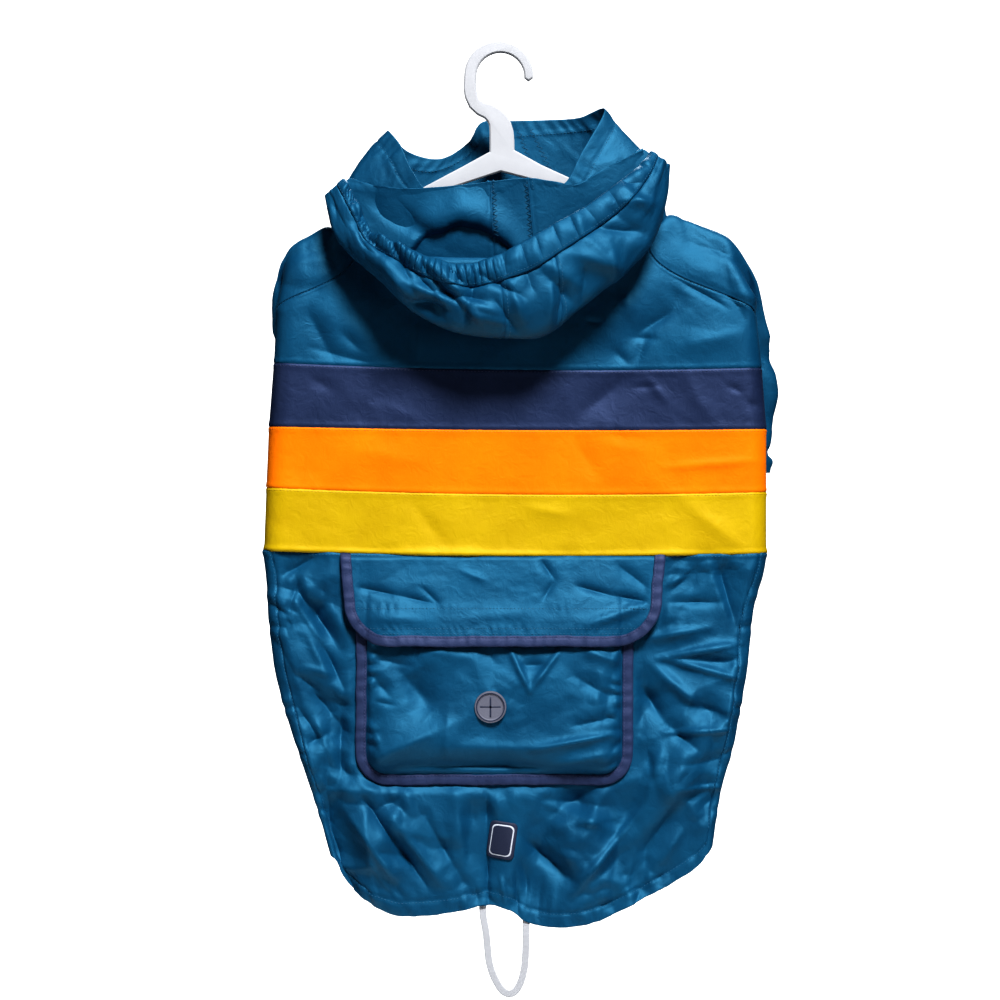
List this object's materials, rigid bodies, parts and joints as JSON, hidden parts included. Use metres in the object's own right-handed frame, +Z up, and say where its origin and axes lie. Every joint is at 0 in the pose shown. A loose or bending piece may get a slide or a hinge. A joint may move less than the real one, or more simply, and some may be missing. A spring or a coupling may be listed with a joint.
{
  "type": "dog windbreaker on a hanger",
  "caption": "Hooded dog windbreaker with chest stripes, sleeves and a flapped saddle pocket, hanging from a plastic hanger.",
  "frame": {"origin": "inside top of the hanger's hook, where a rail or a pin holds it", "axes": "+Z up, -Y is the side of the garment's back, which is shown, +X to the right as seen from there"},
  "size_m": [0.4138, 0.1285, 0.7672],
  "materials": {
    "teal_cloth": "thin plain-woven polyester with a soft sheen",
    "navy_cloth": "thin plain-woven polyester, navy",
    "orange_cloth": "thin plain-woven polyester, orange",
    "yellow_cloth": "thin plain-woven polyester, yellow",
    "grey_rubber": "moulded soft rubber",
    "white_elastic": "woven elastic tape",
    "white_plastic": "moulded polystyrene"
  },
  "bodies": {
    "root": {"hanger": "white_plastic", "back_yoke": "teal_cloth", "stripe_navy": "navy_cloth", "stripe_orange": "orange_cloth", "stripe_yellow": "yellow_cloth", "back_lower": "teal_cloth", "belly_panel": "teal_cloth", "sleeve_left": "teal_cloth", "sleeve_right": "teal_cloth", "collar": "teal_cloth", "hood_left": "teal_cloth", "hood_centre": "teal_cloth", "hood_right": "teal_cloth", "hood_casing": "teal_cloth", "pocket": "teal_cloth", "pocket_binding": "navy_cloth", "flap": "teal_cloth", "flap_binding": "navy_cloth", "patch": "grey_rubber", "outlet_button": "grey_rubber", "tail_loop": "white_elastic"}
  },
  "joints": []
}
